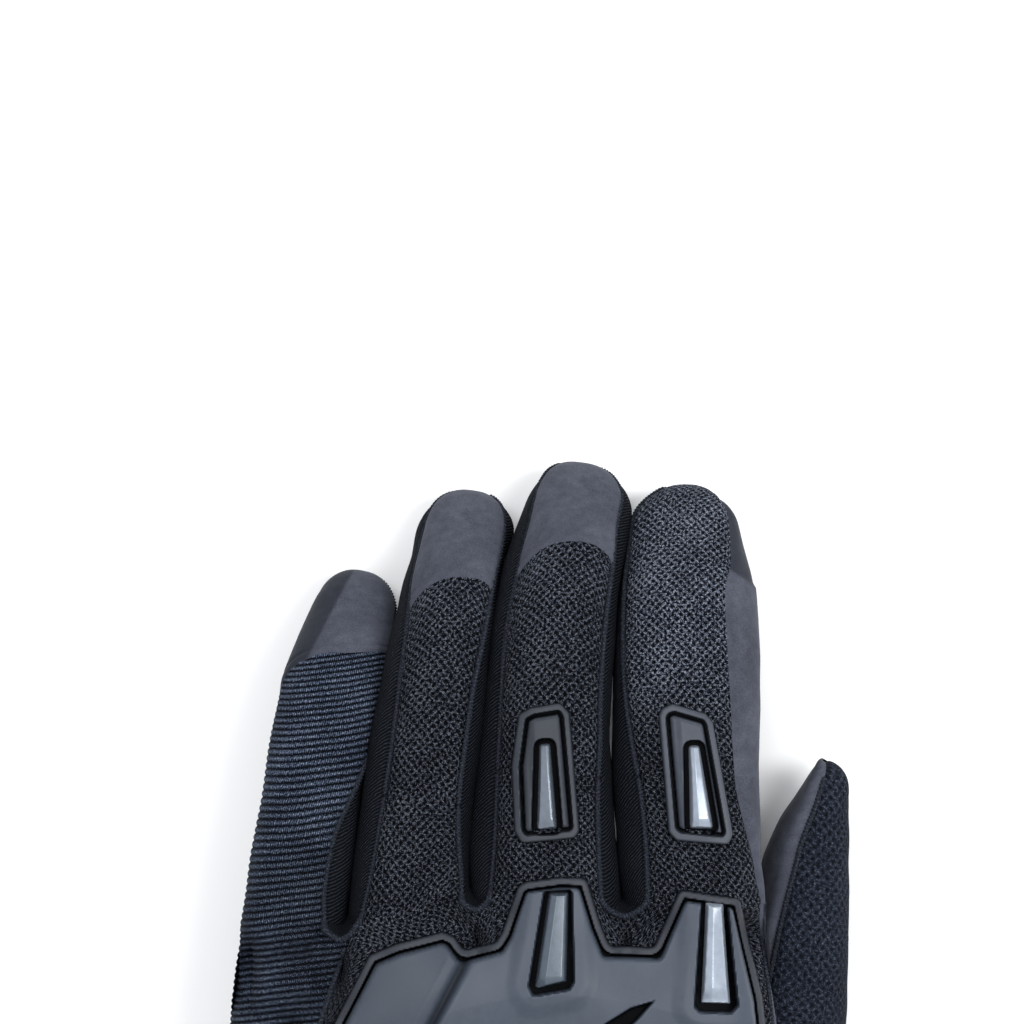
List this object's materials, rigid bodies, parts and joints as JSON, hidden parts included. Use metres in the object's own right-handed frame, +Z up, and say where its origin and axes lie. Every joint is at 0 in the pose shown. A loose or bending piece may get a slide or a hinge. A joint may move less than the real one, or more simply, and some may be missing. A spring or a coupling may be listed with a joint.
{
  "type": "riding glove",
  "caption": "Left riding glove with an air-mesh back, leather palm, moulded knuckle and finger guards, rib-knit outer side and a hook-and-loop wrist strap.",
  "frame": {"origin": "on the surface the glove lies on, under the middle of its overall length and width", "axes": "+Z up through the back of the hand, +Y towards the fingertips, +X towards the thumb side"},
  "size_m": [0.1206, 0.2358, 0.0528],
  "materials": {
    "air_mesh": "black spacer mesh, fine lattice",
    "rib_knit": "blue-black ribbed stretch knit",
    "twill": "black diagonal stretch twill",
    "suede": "charcoal microfibre suede, matte",
    "tpr_slate": "slate grey moulded rubber, satin",
    "tpr_dark": "dark grey moulded rubber, fine matte",
    "ridge_silver": "silver-grey, glossy",
    "webbing": "black neoprene-backed fabric",
    "hook_loop": "black hook-and-loop pile"
  },
  "bodies": {
    "index_proximal": {"index_back_proximal": "air_mesh", "index_palm_proximal": "suede", "index_side_left_proximal": "twill", "index_guard_frame": "tpr_dark", "index_guard_ridge": "ridge_silver"},
    "index_distal": {"index_back_distal": "air_mesh", "index_palm_distal": "suede", "index_side_left_distal": "twill", "index_fingertip": "air_mesh"},
    "middle_proximal": {"middle_back_proximal": "air_mesh", "middle_palm_proximal": "suede", "middle_side_left_proximal": "twill", "middle_side_right_proximal": "twill", "middle_guard_frame": "tpr_dark", "middle_guard_ridge": "ridge_silver"},
    "middle_distal": {"middle_back_distal": "air_mesh", "middle_palm_distal": "suede", "middle_side_left_distal": "twill", "middle_side_right_distal": "twill", "middle_fingertip": "suede"},
    "ring_proximal": {"ring_back_proximal": "air_mesh", "ring_palm_proximal": "suede", "ring_side_left_proximal": "twill", "ring_side_right_proximal": "twill"},
    "ring_distal": {"ring_back_distal": "air_mesh", "ring_palm_distal": "suede", "ring_side_left_distal": "twill", "ring_side_right_distal": "twill", "ring_fingertip": "suede"},
    "pinky_proximal": {"pinky_back_proximal": "rib_knit", "pinky_palm_proximal": "suede", "pinky_side_right_proximal": "twill"},
    "pinky_distal": {"pinky_back_distal": "rib_knit", "pinky_palm_distal": "suede", "pinky_side_right_distal": "twill", "pinky_fingertip": "suede"},
    "thumb_base": {"thumb_mesh_base": "air_mesh", "thumb_leather_base": "suede"},
    "thumb_tip": {"thumb_mesh_tip": "air_mesh", "thumb_leather_tip": "suede"},
    "hand": {"back_mesh_panel": "air_mesh", "outer_rib_panel": "rib_knit", "palm_panel": "suede", "thumb_side_panel": "suede", "cuff_back": "rib_knit", "cuff_palm": "webbing", "thumb_socket": "suede", "palm_heel_pad": "suede", "palm_grip_pad": "suede", "knuckle_guard_flange": "tpr_dark", "knuckle_guard_ring_facet": "tpr_slate", "knuckle_guard_shell": "tpr_slate", "knuckle_inlay_middle": "ridge_silver", "knuckle_inlay_index": "ridge_silver", "strap_loop_patch": "hook_loop", "strap_anchor": "webbing"},
    "strap": {"strap_band": "webbing", "strap_hook_patch": "hook_loop", "strap_pull_tab": "tpr_dark"}
  },
  "joints": [
    {"name": "index_knuckle_bend", "type": "hinge", "parent": "hand", "child": "index_proximal", "pos_m": [0.02858, 0.02713, 0.0286], "axis": [-1, -0.0035, 0], "range_deg": [0, 65]},
    {"name": "index_middle_joint_bend", "type": "hinge", "parent": "index_proximal", "child": "index_distal", "pos_m": [0.02842, 0.0731, 0.02349], "axis": [-1, -0.0035, 0], "range_deg": [-12, 75]},
    {"name": "middle_knuckle_bend", "type": "hinge", "parent": "hand", "child": "middle_proximal", "pos_m": [-0.00043, 0.02802, 0.02955], "axis": [-0.9963, 0.0854, 0], "range_deg": [0, 65]},
    {"name": "middle_middle_joint_bend", "type": "hinge", "parent": "middle_proximal", "child": "middle_distal", "pos_m": [0.00345, 0.07326, 0.02458], "axis": [-0.9963, 0.0854, 0], "range_deg": [-12, 75]},
    {"name": "ring_knuckle_bend", "type": "hinge", "parent": "hand", "child": "ring_proximal", "pos_m": [-0.02573, 0.02614, 0.02822], "axis": [-0.9898, 0.1426, 0], "range_deg": [0, 65]},
    {"name": "ring_middle_joint_bend", "type": "hinge", "parent": "ring_proximal", "child": "ring_distal", "pos_m": [-0.01992, 0.06643, 0.02444], "axis": [-0.9898, 0.1426, 0], "range_deg": [-12, 75]},
    {"name": "pinky_knuckle_bend", "type": "hinge", "parent": "hand", "child": "pinky_proximal", "pos_m": [-0.05083, 0.02236, 0.02594], "axis": [-0.9778, 0.2096, 0], "range_deg": [0, 65]},
    {"name": "pinky_middle_joint_bend", "type": "hinge", "parent": "pinky_proximal", "child": "pinky_distal", "pos_m": [-0.04365, 0.05584, 0.02313], "axis": [-0.9778, 0.2096, 0], "range_deg": [-12, 75]},
    {"name": "thumb_base_bend", "type": "hinge", "parent": "hand", "child": "thumb_base", "pos_m": [0.04618, 0.00112, 0.0122], "axis": [-0.9735, 0.1487, -0.1736], "range_deg": [0, 40]},
    {"name": "thumb_tip_bend", "type": "hinge", "parent": "thumb_base", "child": "thumb_tip", "pos_m": [0.0504, 0.02778, 0.01204], "axis": [-0.9735, 0.1487, -0.1736], "range_deg": [0, 50]},
    {"name": "strap_peel", "type": "hinge", "parent": "hand", "child": "strap", "pos_m": [-0.03582, -0.09238, 0.04309], "axis": [0, -1, 0], "range_deg": [0, 120]}
  ]
}
